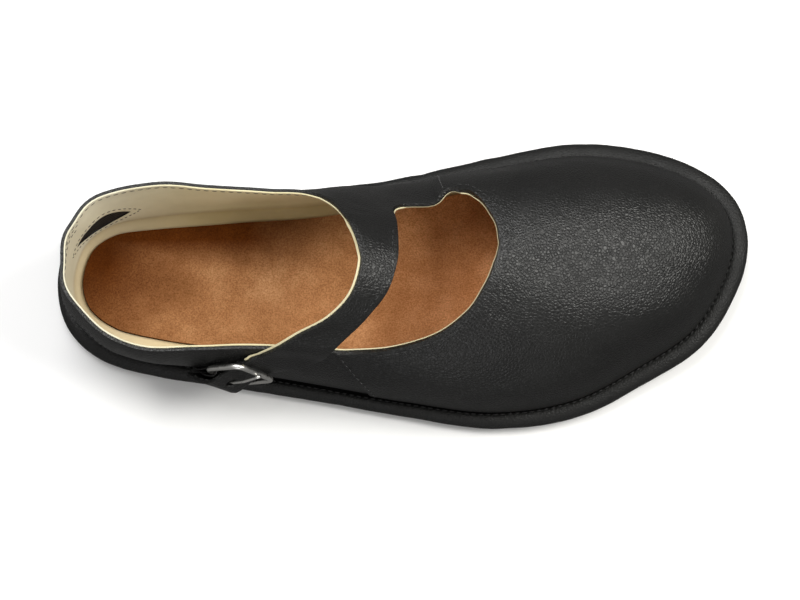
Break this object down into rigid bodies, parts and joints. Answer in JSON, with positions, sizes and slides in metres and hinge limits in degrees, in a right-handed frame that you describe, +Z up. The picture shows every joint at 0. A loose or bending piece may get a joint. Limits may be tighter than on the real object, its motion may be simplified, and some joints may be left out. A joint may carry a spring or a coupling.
{
  "type": "barefoot shoe",
  "caption": "Right barefoot shoe with a wide round toe, lined black leather upper, instep strap with side buckle, heel elastics, brown footbed and flat rubber sole.",
  "frame": {"origin": "on the floor, below the centre of the shoe's bounding box", "axes": "+X to the toe, +Y to the inner (medial) side of the foot, +Z up"},
  "size_m": [0.25, 0.1046, 0.0744],
  "materials": {
    "outsole": "matt, fine waffle tread",
    "wrapped_midsole": "satin, fine grain",
    "insole": "suede nap",
    "upper": "satin, fine grain, cream lining",
    "elastic": "ribbed elastic webbing",
    "buckle": "polished, lightly worn",
    "buckle_tab": "satin, fine grain"
  },
  "bodies": {
    "root": {"outsole": "outsole", "wrapped_midsole": "wrapped_midsole", "insole": "insole", "upper": "upper", "heel_elastic_medial": "elastic", "heel_elastic_lateral": "elastic", "buckle_frame": "buckle", "buckle_prong": "buckle", "buckle_tab": "buckle_tab"}
  },
  "joints": []
}
